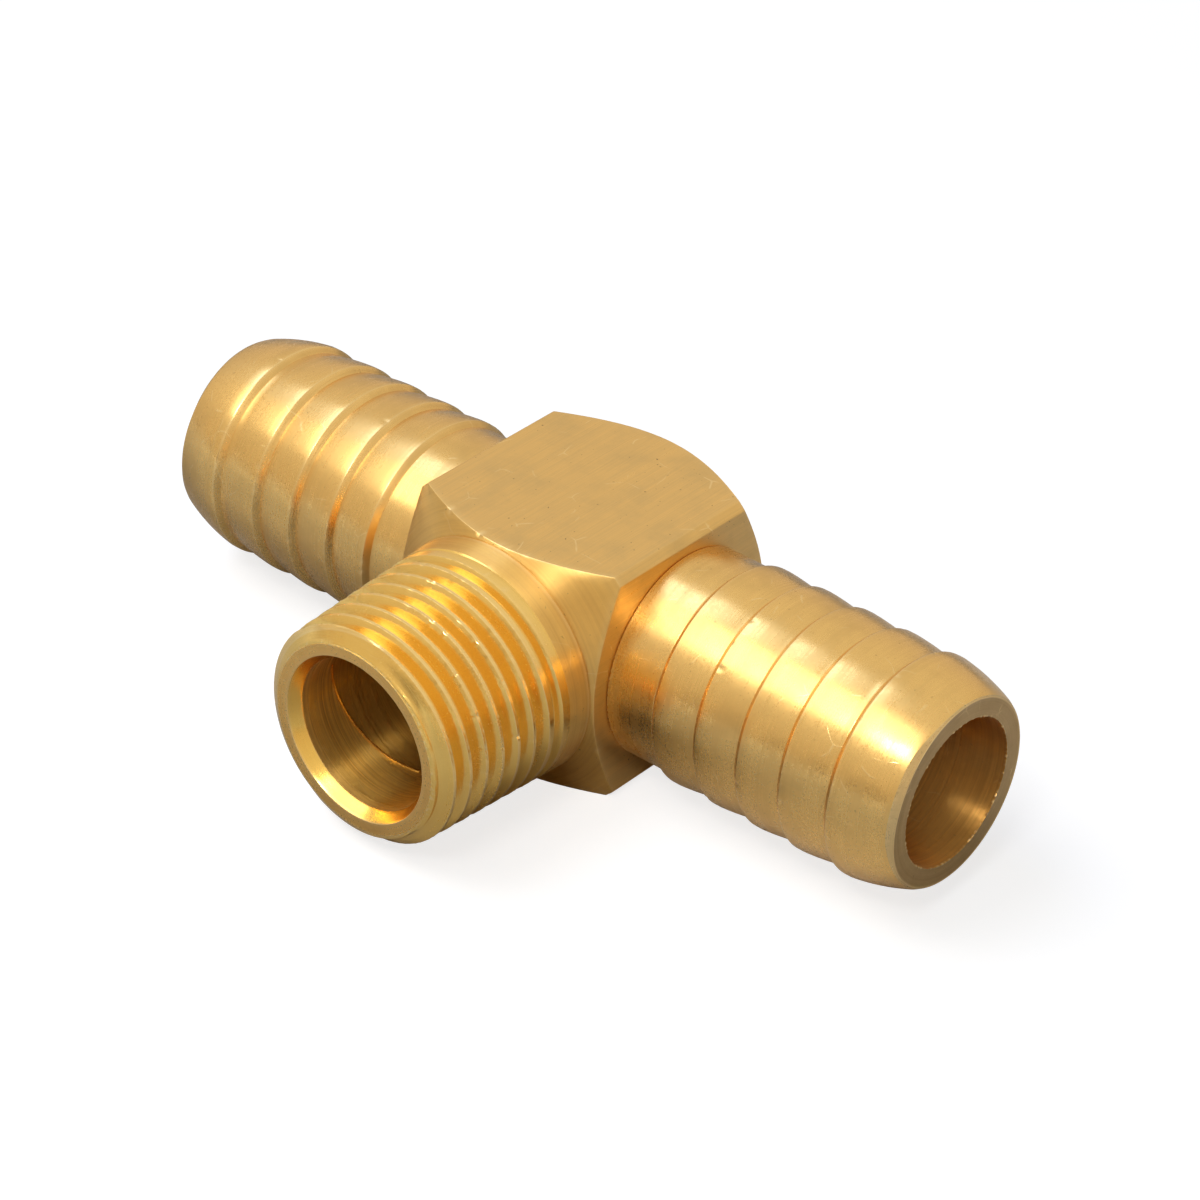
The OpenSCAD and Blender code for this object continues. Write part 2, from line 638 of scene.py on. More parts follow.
        dull = graph.remap(patches, 0.45, 0.70, 0.0, self.patch)
        colour = graph.blend(dull, opaque(self.metal), opaque(self.tarnish))
        toned = graph.remap(lines, 0.38, 0.62, self.line_tone, 0.0)
        colour = graph.blend(toned, colour, opaque(self.tarnish))
        dark = graph.remap(specks, 0.74, 0.79, 0.0, self.pits)
        colour = graph.blend(dark, colour, opaque(self.speck))
        marked = graph.math("MULTIPLY", self.scratch_mask(graph, place), self.scratches)
        rubbed = graph.math("MULTIPLY", graph.wear(), 0.8, clamp=True)
        rubbed = graph.math("MAXIMUM", rubbed, marked)
        colour = graph.blend(rubbed, colour, opaque(self.bright))

        rough = graph.remap(lines, 0.35, 0.65, self.roughness + self.spread, self.roughness - self.spread)
        rough = graph.math("ADD", rough, graph.math("MULTIPLY", dull, 0.12))
        rough = graph.math("ADD", rough, graph.remap(grain, 0.3, 0.7, -0.04, 0.04))
        rough = graph.math("MAXIMUM", rough, 0.08)

        # Painted shade: the wall deeper in the waterway is darkened towards the tarnish colour.
        if self.shaded_deep_wall:
            deeper = self.deep_wall_shade(graph)
            colour = graph.blend(graph.math("MULTIPLY", deeper, 0.6), colour, opaque(self.tarnish))

        normal = graph.bump(fine, self.line_depth, 1.0)
        normal = graph.bump(grain, self.grain, 1.0, normal)
        normal = graph.bump(marked, 0.00001, 1.0, normal)

        shader = graph.node("BsdfPrincipled")
        shader.inputs["Metallic"].default_value = 1.0
        shader.inputs["Anisotropic"].default_value = self.anisotropy
        graph.feed(shader.inputs["Base Color"], colour)
        graph.feed(shader.inputs["Roughness"], rough)
        graph.feed(shader.inputs["Normal"], normal)
        if self.anisotropy:
            axis = "Y" if self.marks is Marks.TURNED_BRANCH else "X"
            shader.inputs["Anisotropic Rotation"].default_value = 0.25
            tangent = graph.node("Tangent", direction_type="RADIAL", axis=axis)
            graph.feed(shader.inputs["Tangent"], tangent.outputs[0])
        out = graph.node("OutputMaterial")
        graph.feed(out.inputs["Surface"], shader.outputs[0])
        return graph.material


DRAWN_FLAT = BrassFinish(
    "brass_drawn_flat", Marks.DRAWN,
    metal=(0.84, 0.52, 0.17), tarnish=(0.60, 0.40, 0.15), roughness=0.36, spread=0.07,
    line_scale=9000.0, line_depth=0.000006, line_tone=0.45, patch=0.55, pits=0.8, scratches=0.5,
    grain=0.000003,
)
TURNED_SHOULDER = BrassFinish(
    "brass_turned_shoulder", Marks.TURNED_BRANCH,
    metal=(0.90, 0.56, 0.16), tarnish=(0.66, 0.38, 0.11), roughness=0.36, spread=0.07,
    line_scale=3600.0, line_depth=0.000012, line_tone=0.4, patch=0.3, pits=0.4, scratches=0.3,
    grain=0.000002, anisotropy=0.92,
)
# The pale colour on the thread crests is worn brass and also painted highlight along the crest lines.
THREAD = BrassFinish(
    "brass_thread", Marks.TURNED_BRANCH,
    metal=(0.95, 0.62, 0.17), tarnish=(0.82, 0.46, 0.10), roughness=0.21, spread=0.05,
    line_scale=6000.0, line_depth=0.000005, line_tone=0.2, patch=0.3, pits=0.12, scratches=0.1,
    grain=0.0000006, bright=(0.98, 0.73, 0.34),
)
END_RING = BrassFinish(
    "brass_end_ring", Marks.TURNED_BRANCH,
    metal=(0.90, 0.54, 0.16), tarnish=(0.66, 0.38, 0.11), roughness=0.30, spread=0.07,
    line_scale=5200.0, line_depth=0.000010, line_tone=0.35, patch=0.5, pits=0.6, scratches=0.3,
)
COUNTERSINK = BrassFinish(
    "brass_countersink", Marks.TURNED_BRANCH,
    metal=(0.94, 0.58, 0.13), tarnish=(0.80, 0.44, 0.09), roughness=0.22, spread=0.05,
    line_scale=7000.0, line_depth=0.000005, line_tone=0.25, patch=0.2, pits=0.2,
)
BRANCH_BORE = BrassFinish(
    "brass_branch_bore", Marks.TURNED_BRANCH,
    metal=(0.96, 0.58, 0.13), tarnish=(0.42, 0.20, 0.03), roughness=0.42, spread=0.12,
    line_scale=3800.0, line_depth=0.000038, line_tone=1.0, patch=0.4, pits=0.3, scratches=0.2,
    grain=0.000004, anisotropy=0.95, shaded_deep_wall=True,
)
TAIL_SKIN = BrassFinish(
    "brass_satin_tail", Marks.TURNED_RUN,
    metal=(0.88, 0.55, 0.18), tarnish=(0.66, 0.42, 0.14), roughness=0.28, spread=0.06,
    line_scale=7500.0, line_depth=0.000006, line_tone=0.34, patch=0.5, pits=0.35, scratches=0.5,
    grain=0.000003, anisotropy=0.55,
)
# Painted shade: the tail's end ring is coloured darker than the other brass, standing in for the dark,
# shadowed floor that it mirrors.
TAIL_END = BrassFinish(
    "brass_tail_end", Marks.TURNED_RUN,
    metal=(0.56, 0.36, 0.145), tarnish=(0.38, 0.24, 0.09), roughness=0.36, spread=0.07,
    line_scale=5200.0, line_depth=0.000012, line_tone=0.45, patch=0.5, pits=0.6, scratches=0.4,
)
TAIL_BEVEL = BrassFinish(
    "brass_filed_bevel", Marks.TURNED_RUN,
    metal=(0.72, 0.49, 0.21), tarnish=(0.46, 0.31, 0.13), roughness=0.30, spread=0.08,
    line_scale=5200.0, line_depth=0.000012, line_tone=0.45, patch=0.6, pits=0.6, scratches=0.5,
)
# Painted shade: the tail waterway's metal is coloured darker than the outer brass, for the shade inside
# the bore.
TAIL_BORE = BrassFinish(
    "brass_tail_bore", Marks.TURNED_RUN,
    metal=(0.82, 0.44, 0.11), tarnish=(0.46, 0.22, 0.05), roughness=0.44, spread=0.07,
    line_scale=3800.0, line_depth=0.000022, line_tone=0.7, patch=0.4, pits=0.3, scratches=0.2,
    grain=0.000004, anisotropy=0.96,
)
FILLER = BrassFinish(
    "silver_filler", Marks.PLAIN,
    metal=(0.82, 0.70, 0.50), tarnish=(0.62, 0.50, 0.33), roughness=0.36, spread=0.08,
    line_scale=2500.0, line_depth=0.000010, line_tone=0.3, patch=0.5, pits=0.4,
)


# ------------------------------------------------------------------------ tee body


@dataclass
class TeeBody:
    """The threaded block, turned from square bar, with its sockets and waterways."""

    node: str = "tee_body"
    corner_break: float = 0.65
    front_corner: float = 8.2
    front_angle: float = 35.0
    back_corner: float = 7.7
    back_angle: float = 38.0
    back_face_r: float = 10.2
    neck_r: float = 10.8
    neck_len: float = 2.4
    taper: float = 0.05
    pitch: float = 1.814
    thread_depth: float = 1.1
    crest_w: float = 0.3
    flank: float = 27.5
    first_crest: float = 26.73
    runout_turns: float = 1.7
    lead_len: float = 0.8
    bore_r: float = 6.9
    mouth_depth: float = 1.15
    mouth_angle: float = 30.0
    end_land: float = 1.0
    run_bore_r: float = 6.7
    socket_r: float = 8.55
    socket_floor: float = 8.0
    groove_w: float = 0.5
    edge_round: float = 0.05
    thread_round: float = 0.03
    burr: float = 0.02
    end_burr: float = 0.05
    seam_fade: float = 0.05
    # How bright the crests are rubbed: worn brass, and painted highlight along the crest lines.
    crest_wear_and_highlight: float = 0.8
    ridge_turn: float = 112.0
    ridge_r: float = 0.14
    crest_dents: int = 90
    edge_dents: int = 18
    columns: int = 384
    seed: int = 14

    def __post_init__(self) -> None:
        """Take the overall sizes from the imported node."""
        low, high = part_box(self.node)
        self.half_w = high[0] / MM
        self.back_y = high[1] / MM
        self.branch_y = -low[1] / MM
        self.corner_r = math.hypot(self.half_w, self.half_w - self.corner_break)
        self.front_slope = math.tan(math.radians(self.front_angle))
        self.back_slope = math.tan(math.radians(self.back_angle))
        self.neck_y = self.front_corner + (self.corner_r - self.neck_r) * self.front_slope
        self.thread_y = self.neck_y + self.neck_len
        self.mouth_r = self.bore_r + self.mouth_depth * math.tan(math.radians(self.mouth_angle))
        self.end_face_r = self.mouth_r + self.end_land
        self.random = np.random.default_rng(self.seed)

    def column_angles(self) -> Array:
        """Space the columns round the branch, close together at the broken bar corners.

        Returns:
            The angle of each column, in radians.
        """
        even = np.linspace(0, FULL_TURN, self.columns + 1)
        half_break = math.pi / 4 - math.atan2(self.half_w - self.corner_break, self.half_w)
        offsets = np.array([-1.35, -1.1, -1.0, -0.9, -0.5, 0.0, 0.5, 0.9, 1.0, 1.1, 1.35]) * half_break
        corners = [quarter + offsets for quarter in math.pi / 4 + np.arange(4) * math.pi / 2]
        extra = np.concatenate(corners)
        gap = np.abs(even[:, None] - extra[None, :]).min(axis=1)
        return np.sort(np.concatenate([even[gap > 0.003], extra]))

    def bar_radius(self, angles: Array) -> Array:
        """Measure from the branch axis to the bar's skin.

        Args:
            angles: Angle of each column.

        Returns:
            The distance at each column.
        """
        turn = (angles + math.pi / 4) % (math.pi / 2) - math.pi / 4
        flat = self.half_w / np.cos(turn)
        corner_turn = angles % (math.pi / 2) - math.pi / 4
        broken = (2 * self.half_w - self.corner_break) / math.sqrt(2) / np.cos(corner_turn)
        softness = 0.02
        low, high = np.minimum(flat, broken), np.maximum(flat, broken)
        return low - softness * np.log1p(np.exp(-(high - low) / softness))

    def blank_radius(self, along: Array | float) -> Array | float:
        """Return the radius of the tapered branch before the thread is cut."""
        return self.neck_r - self.taper * (along - self.neck_y)

    def edge_widths(self, angles: Array, low: float, high: float) -> Array:
        """Vary the width of a hand-filed edge, the same at both ends of a turn.

        Args:
            angles: Angle of each column.
            low: Narrowest width.
            high: Widest width.

        Returns:
            The width at each column.
        """
        wave = np.zeros_like(angles)
        for waves in (3, 7, 12, 23, 41, 67):
            wave += np.sin(angles * waves + self.random.uniform(0, FULL_TURN)) / math.sqrt(waves)
        wave = (wave - wave.min()) / (wave.max() - wave.min())
        return low + (high - low) * wave ** 2

    def add_back(self, rows: Rows, bar: Array) -> None:
        """Add the flat disc and the turned cone at the back.

        Args:
            rows: The rows so far.
            bar: Distance from the branch axis to the bar's skin at each column.
        """
        rows.add(-self.back_y, 0.0)
        rows.line((-self.back_y, 0.0), (-self.back_y, self.back_face_r), (0.2, 0.4, 0.6, 0.8, 0.95))
        size = self.edge_round
        down = (math.sin(math.radians(self.back_angle)), math.cos(math.radians(self.back_angle)))
        rows.round_edge(
            (-self.back_y, self.back_face_r - size),
            (-self.back_y, self.back_face_r),
            (-self.back_y + size * down[0], self.back_face_r + size * down[1]),
            0.6,
        )
        edge = -(self.back_corner + (self.corner_r - bar) * self.back_slope)
        width = np.minimum(self.edge_widths(rows.angles, size, size * 2.4), (bar - self.back_face_r) * 0.4)
        rows.line((-self.back_y, self.back_face_r), (edge, bar), (0.2, 0.4, 0.6, 0.8))
        rows.round_edge(
            (edge - width * down[0], bar - width * down[1]), (edge, bar), (edge + width, bar), 0.4
        )

    def add_flats(self, rows: Rows, bar: Array) -> None:
        """Add the bar's flats and the turned front shoulder, down to the neck.

        Args:
            rows: The rows so far.
            bar: Distance from the branch axis to the bar's skin at each column.
        """
        back = -(self.back_corner + (self.corner_r - bar) * self.back_slope)
        front = self.front_corner + (self.corner_r - bar) * self.front_slope
        rows.line((back, bar), (front, bar), np.linspace(0.04, 0.96, 24))
        size = self.edge_round
        down = (math.sin(math.radians(self.front_angle)), math.cos(math.radians(self.front_angle)))
        width = np.minimum(self.edge_widths(rows.angles, size, size * 2.2), (bar - self.neck_r) * 0.45)
        rows.round_edge(
            (front - width, bar), (front, bar), (front + width * down[0], bar - width * down[1]), 0.45
        )
        rows.line((front, bar), (self.neck_y, self.neck_r), (0.3, 0.55, 0.8, 0.93))

    def add_neck(self, rows: Rows) -> None:
        """Add the small undercut at the foot of the neck and the neck itself.

        Args:
            rows: The rows so far.
        """
        rows.add(self.neck_y - 0.04, self.neck_r + 0.03)
        rows.add(self.neck_y, self.neck_r - 0.07)
        rows.add(self.neck_y + 0.09, self.neck_r - 0.08)
        rows.add(self.neck_y + 0.16, self.blank_radius(self.neck_y + 0.16), 0.5)
        for share in (0.2, 0.4, 0.6, 0.8):
            along = self.neck_y + self.neck_len * share
            rows.add(along, self.blank_radius(along))

    def add_thread(self, rows: Rows) -> None:
        """Add the tapered helical thread, which fades out at the neck.

        Args:
            rows: The rows so far.
        """
        half_mouth = (self.pitch - self.crest_w) / 2
        tangent = math.tan(math.radians(self.flank))
        half_root = half_mouth - self.thread_depth * tangent
        advance = self.pitch * rows.angles / FULL_TURN
        turns = int((self.first_crest - self.thread_y) / self.pitch) + 2
        start = self.first_crest - self.pitch / 2 - turns * self.pitch
        lead_start = self.branch_y - self.lead_len
        lead_r = self.blank_radius(lead_start)
        last_y = self.branch_y - self.end_burr - 0.01

        def depth_at(centre: Array) -> Array:
            """Return the full depth of the groove centred at a place."""
            share = (centre - self.thread_y + 0.3) / (self.runout_turns * self.pitch)
            return self.thread_depth * np.clip(share, 0, 1) ** 0.8

        def add(along: Array, depth: Array, wear: Array | float) -> None:
            """Add one row of the thread, held between the neck and the burr of the end face.

            Args:
                along: Place along the branch.
                depth: How far the row lies below the blank.
                wear: How bright it is rubbed.
            """
            held = np.clip(along, self.thread_y, last_y)
            gate = np.clip((held - self.thread_y) / 0.3, 0, 1)
            radius = self.blank_radius(held) - depth * gate
            lead = lead_r - (held - lead_start) * (lead_r - self.end_face_r) / self.lead_len
            rows.add(held, np.minimum(radius, lead), wear)

        # The burr fades out at the seam, so that both of its sides meet
        seam = np.clip(np.minimum(rows.angles, FULL_TURN - rows.angles) / self.seam_fade, 0, 1)
        for turn in range(turns + 2):
            centre = start + turn * self.pitch + advance
            for side, middle in ((1, centre), (-1, centre + self.pitch)):
                depth = depth_at(middle)
                width = depth * tangent
                soft = np.minimum(self.thread_round, width / 4)
                torn = ripple(self.random, rows.angles, (61, 89, 127))
                burr = -self.burr * torn * np.clip(depth, 0, 1) * seam
                # Crest rows are rubbed bright: wear, and painted highlight along the crests.
                rubbed = self.crest_wear_and_highlight * np.clip(depth / self.thread_depth, 0, 1) ** 2
                profile = [
                    (np.zeros_like(width), depth, 0.0),
                    (half_root - soft, depth, 0.0),
                    (half_root + soft, depth - soft / tangent, 0.0),
                    (half_root + width / 2, depth / 2, 0.0),
                    (half_root + width - soft, soft / tangent, 0.0),
                    (half_root + width + soft, burr, rubbed),
                ]
                if side < 0:
                    add(centre + self.pitch / 2, np.zeros_like(width), rubbed * 0.5)
                    profile = profile[:0:-1]
                for offset, sunk, wear in profile:
                    add(middle + side * offset, sunk, wear)

    def add_mouth(self, rows: Rows) -> None:
        """Add the end ring, the countersink and the branch waterway.

        Args:
            rows: The rows so far.
        """
        ragged = ripple(self.random, rows.angles, (9, 43, 71, 113))
        lip_r = self.end_face_r + self.end_burr + self.end_burr * ragged
        rows.add(self.branch_y - self.end_burr, lip_r, ragged)
        rows.add(self.branch_y, self.end_face_r + 0.04 * ragged, ragged)
        rows.add(self.branch_y, self.end_face_r - 0.06, 0.0)
        rows.line((self.branch_y, self.end_face_r), (self.branch_y, self.mouth_r), (0.3, 0.6))
        foot = self.branch_y - self.mouth_depth
        rows.round_edge(
            (self.branch_y, self.mouth_r + 0.05),
            (self.branch_y, self.mouth_r),
            (self.branch_y - 0.05, self.mouth_r - 0.03),
            0.7,
        )
        rows.line((self.branch_y, self.mouth_r), (foot, self.bore_r), (0.25, 0.5, 0.75, 0.95))
        rows.round_edge(
            (foot + 0.05, self.bore_r + 0.03), (foot, self.bore_r), (foot - 0.05, self.bore_r), 0.5
        )
        rows.line((foot, self.bore_r), (0.0, self.bore_r), np.linspace(0.04, 1.0, 20))
        rows.add(0.0, self.bore_r * 0.5)
        rows.add(0.0, 0.0)

    def dents(self, places: Array, wear: Array) -> None:
        """Press handling dents into the edges and crests.

        Args:
            places: Points of the skin, changed in place.
            wear: Wear of the skin, changed in place.
        """
        for _ in range(self.crest_dents):
            turn = self.random.integers(1, 8)
            angle = self.random.uniform(0, FULL_TURN)
            along = self.first_crest - turn * self.pitch + self.pitch * angle / FULL_TURN
            radius = self.blank_radius(along)
            out = np.array([math.cos(angle), 0.0, math.sin(angle)])
            centre = out * radius + np.array([0.0, -along, 0.0])
            size = self.random.uniform(0.16, 0.34)
            dent(places, wear, centre, size, -out * size * self.random.uniform(0.15, 0.4))
        for _ in range(self.edge_dents):
            angle = self.random.uniform(0, FULL_TURN)
            bar = float(self.bar_radius(np.array([angle]))[0])
            along = self.front_corner + (self.corner_r - bar) * self.front_slope
            out = np.array([math.cos(angle), 0.0, math.sin(angle)])
            centre = out * bar + np.array([0.0, -along, 0.0])
            size = self.random.uniform(0.15, 0.45)
            dent(places, wear, centre, size, -out * size * 0.14 + np.array([0.0, size * 0.1, 0.0]))

    def skin(self) -> bpy.types.Object:
        """Wrap the outer skin, with the branch waterway as a blind hole.

        Returns:
            A closed skin.
        """
        angles = self.column_angles()
        bar = self.bar_radius(angles)
        rows = Rows(angles)
        self.add_back(rows, bar)
        self.add_flats(rows, bar)
        self.add_neck(rows)
        self.add_thread(rows)
        self.add_mouth(rows)
        along, radius, wear = rows.stacked()
        places = np.stack([radius * np.cos(angles), -along, radius * np.sin(angles)], axis=-1)
        wear = wear.copy()
        self.dents(places, wear)
        return wrap_grid("tee_body_brass", places, np.clip(wear, 0, 1))

    def drill(self, piece: bpy.types.Object) -> None:
        """Drill the run waterway and bore the two sockets.

        Args:
            piece: The block.
        """
        deselect_all()
        bpy.ops.mesh.primitive_cylinder_add(
            vertices=128,
            radius=self.run_bore_r * MM,
            depth=2.4 * self.half_w * MM,
            rotation=(0, math.pi / 2, 0),
        )
        drill = bpy.context.active_object
        settle(drill)
        cut(piece, drill)
        for side in (-1, 1):
            deselect_all()
            depth = self.half_w - self.socket_floor
            bpy.ops.mesh.primitive_cylinder_add(
                vertices=128,
                radius=self.socket_r * MM,
                depth=depth * MM,
                location=(side * (self.socket_floor + depth / 2) * MM, 0, 0),
                rotation=(0, side * math.pi / 2, 0),
            )
            mill = bpy.context.active_object
            settle(mill)
            with editing(mill, "FACE") as mesh:
                for face in mesh.faces:
                    face.select = face.calc_center_median().x * side > (self.half_w - 0.01) * MM
                mesh.select_flush_mode()
                bpy.ops.mesh.extrude_region_move(TRANSFORM_OT_translate={"value": (0, 0, 0)})
                grown = (self.socket_r + self.groove_w) / self.socket_r
                bpy.ops.transform.resize(
                    value=(1, grown, grown), center_override=(side * self.half_w * MM, 0, 0)
                )
                bpy.ops.mesh.extrude_region_move(TRANSFORM_OT_translate={"value": (side * 0.5 * MM, 0, 0)})
            with editing(mill, "VERT") as mesh:
                for point in mesh.verts:
                    on_face = abs(point.co.x * side - self.half_w * MM) < 1e-6
                    small = math.hypot(point.co.y, point.co.z) < (self.socket_r + 0.01) * MM
                    point.select = on_face and small
                mesh.select_flush_mode()
                bpy.ops.transform.translate(value=(-side * self.groove_w * MM, 0, 0))
                bpy.ops.mesh.select_all(action="SELECT")
                bpy.ops.mesh.normals_make_consistent(inside=False)
            cut(piece, mill)

    def add_retreat_ridge(self, piece: bpy.types.Object) -> None:
        """Join the fine helical ridge that the drill has left in the branch waterway.

        Args:
            piece: The block.
        """
        deselect_all()
        start = math.radians(RIDGE_START)
        turn = math.radians(self.ridge_turn)
        place = Vector((math.cos(start), 0, math.sin(start))) * (self.bore_r + 0.02) * MM
        place.y = -RIDGE_MOUTH_Y * MM
        bpy.ops.mesh.primitive_circle_add(
            vertices=8, radius=self.ridge_r * MM, location=place, rotation=(0, -start, 0)
        )
        ridge = bpy.context.active_object
        settle(ridge)
        pick(ridge)
        bpy.ops.object.modifier_add(type="SCREW")
        sweep = ridge.modifiers[-1]
        sweep.axis = "Y"
        sweep.angle = -turn
        sweep.screw_offset = RIDGE_LEAD * MM * turn / FULL_TURN
        sweep.steps = 72
        sweep.use_merge_vertices = False
        bpy.ops.object.modifier_apply(modifier=sweep.name)
        with editing(ridge, "EDGE"):
            bpy.ops.mesh.select_all(action="SELECT")
            bpy.ops.mesh.fill_holes(sides=8)
            bpy.ops.mesh.select_all(action="SELECT")
            bpy.ops.mesh.normals_make_consistent(inside=False)
        ridge.data.materials.append(MATERIALS[COUNTERSINK.name])
        deselect_all()
        ridge.select_set(True)
        piece.select_set(True)
        bpy.context.view_layer.objects.active = piece
        bpy.ops.object.join()

    def finish_of(self, face: bpy.types.MeshPolygon) -> BrassFinish:
        """Choose the finish of one face, from its place and the way it faces.

        Args:
            face: A face of the block.

        Returns:
            Its finish.
        """
        x, y, z = (value / MM for value in face.center)
        along, radius, run_radius = -y, math.hypot(x, z), math.hypot(y, z)
        foot = self.branch_y - self.mouth_depth
        across = abs(face.normal.y) < 0.5
        on_branch_wall = self.bore_r - 0.1 < radius < self.bore_r + 0.05
        inside_bar = abs(x) < self.half_w - 0.01 and radius < self.half_w * 1.2
        in_run = 1 < run_radius < self.socket_r + self.groove_w and abs(y) < self.bore_r + 2
        if along > self.thread_y and radius > self.end_face_r - 0.02:
            return THREAD
        if along > self.branch_y - 0.06 and radius > self.mouth_r - 0.02:
            return END_RING
        if along > foot - 0.02 and radius < self.mouth_r + 0.02:
            return COUNTERSINK
        if along > self.bore_r and radius < self.bore_r + 0.05:
            return BRANCH_BORE
        if along > 0 and across and on_branch_wall:
            return BRANCH_BORE
        if in_run and inside_bar:
            return TAIL_BORE
        if along > self.neck_y - 0.05 or abs(face.normal.y) > 0.3:
            return TURNED_SHOULDER
        facing = max(abs(face.normal.x), abs(face.normal.z))
        return TURNED_SHOULDER if facing < 0.6 else DRAWN_FLAT

    def dress(self, piece: bpy.types.Object) -> None:
        """Give each region of the block its finish.

        Args:
            piece: The block.
        """
        finishes = [DRAWN_FLAT, TURNED_SHOULDER, THREAD, END_RING, COUNTERSINK, BRANCH_BORE, TAIL_BORE]
        index = {finish.name: place for place, finish in enumerate(finishes)}
        piece.data.materials.clear()
        for finish in finishes:
            piece.data.materials.append(MATERIALS[finish.name])
        for face in piece.data.polygons:
            face.material_index = index[self.finish_of(face).name]

    def build(self) -> bpy.types.Object:
        """Build and dress the block.

        Returns:
            The finished piece.
        """
        piece = self.skin()
        self.drill(piece)
        self.dress(piece)
        self.add_retreat_ridge(piece)
        smooth(piece)
        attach(piece, BODY)
        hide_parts(self.node)
        return piece


# ------------------------------------------------------------------------- tails


@dataclass
class HoseTail:
    """One ridged hose tail with its spigot, nose and waterway."""

    node: str
    side: int
    seed: int
    root_x: float = 11.0
    ridge_h: float = 0.45
    first_ridge: float = 5.4
    ridge_pitch: float = 4.4
    last_gap: float = 0.4
    ridges: int = 5
    rise: float = 0.5
    land: float = 0.6
    nose_drop: float = 1.2
    nose_round: float = 0.5
    wall: float = 2.8
    seat_w: float = 1.0
    spigot_x: float = 8.2
    seam: float = 0.14
    ridge_soft: float = 0.05
    tip_soft: float = 0.09
    bevel_low: float = 0.1
    bevel_high: float = 0.75
    bevel_angle: float = 22.0
    bevel_spread: float = 34.0
    nose_rim: float = 0.2
    lip: float = 0.04
    crisp_angle: float = 11.0
    nicks: int = 40
    columns: int = 320

    def __post_init__(self) -> None:
        """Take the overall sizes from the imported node."""
        low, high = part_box(self.node)
        self.tail_x = max(abs(low[0]), abs(high[0])) / MM
        self.crest_r = high[2] / MM
        self.root_r = self.crest_r - self.ridge_h
        self.bore_r = self.root_r - self.wall
        self.spigot_r = self.root_r - self.seat_w
        self.nose_r = self.crest_r - self.nose_drop
        self.end_r = self.nose_r - self.nose_round
        self.random = np.random.default_rng(self.seed)

    def ridge_x(self, number: int) -> float:
        """Return the place of a ridge, at the foot of its land."""
        gap = self.last_gap if number == self.ridges - 1 else 0.0
        return self.root_x + self.first_ridge + number * self.ridge_pitch + gap

    def add_ridge(self, rows: Rows, number: int) -> None:
        """Add the steep side, the land and the domed slope of one ridge.

        Args:
            rows: The rows so far.
            number: Ridge number, counted from the block.
        """
        x = self.ridge_x(number)
        foot = x - self.rise
        rows.add(foot - 0.05, self.root_r + 0.005)
        rows.add(foot, self.root_r - 0.01)
        rows.add(foot + 0.05, self.root_r + 0.03)
        rows.add(x - self.rise * 0.6, self.crest_r - self.ridge_h * 0.6)
        soft = self.tip_soft if number == self.ridges - 1 else self.ridge_soft
        rows.round_edge(
            (x - soft, self.crest_r - soft * self.ridge_h / self.rise),
            (x, self.crest_r),
            (x + soft * 1.3, self.crest_r),
            0.5,
        )
        rows.line((x, self.crest_r), (x + self.land, self.crest_r), (0.5, 1.0))
        last = number == self.ridges - 1
        land = self.last_gap if number == self.ridges - 2 else 0.06
        end_x = self.tail_x - self.nose_round if last else self.ridge_x(number + 1) - self.rise - land
        end_r = self.nose_r if last else self.root_r + 0.006
        start_x = x + self.land
        for share in np.linspace(1 / 12, 1, 12):
            fall = (self.crest_r - end_r) * (share + share * share) / 2
            rows.add(start_x + (end_x - start_x) * share, self.crest_r - fall)

    def add_nose(self, rows: Rows) -> None:
        """Add the uneven filed bevel, the end ring and the ragged edge of the waterway.

        Args:
            rows: The rows so far.
        """
        off = (np.degrees(rows.angles) - self.bevel_angle + 180) % 360 - 180
        swell = np.exp(-((off / self.bevel_spread) ** 2))
        bevel = self.bevel_low + (self.bevel_high - self.bevel_low) * swell
        rim_r = self.end_r + self.nose_rim
        slope = (self.nose_r - rim_r) / self.nose_round
        ragged = ripple(self.random, rows.angles, (7, 31, 59, 83))
        past = np.maximum(bevel - self.nose_round, 0)
        near_r = rim_r + slope * np.minimum(bevel, self.nose_round) + 0.3 * past
        far_r = rim_r - 0.45 * bevel
        near_x = self.tail_x - bevel
        rows.add(near_x - 0.02, near_r + 0.02 * slope, 0.15 * ragged)
        rows.add(near_x + 0.02, near_r - 0.02, 0.35 + 0.3 * ragged)
        face_x = self.tail_x - self.lip
        rows.add(face_x - 0.04, far_r + 0.04, 0.3)
        rows.add(face_x + self.lip * 0.6, far_r - 0.01, 0.9)
        rows.add(face_x + self.lip * 0.4, far_r - 0.06, 0.6)
        rows.line((face_x, far_r), (face_x, self.bore_r), (0.1, 0.4, 0.7, 0.9))
        torn = ripple(self.random, rows.angles, (11, 47, 79, 101))
        rows.add(face_x, self.bore_r + 0.10, 0.1 * torn)
        rows.add(face_x + self.lip * torn, self.bore_r + 0.05 - 0.03 * torn, torn)
        rows.add(face_x + self.lip * torn * 0.8, self.bore_r - 0.06 * torn, torn)
        rows.add(face_x - 0.03, self.bore_r - 0.12 * torn, torn)
        rows.add(face_x - 0.12, self.bore_r - 0.06 * torn, torn)
        rows.add(face_x - 0.18, self.bore_r, 0.0)

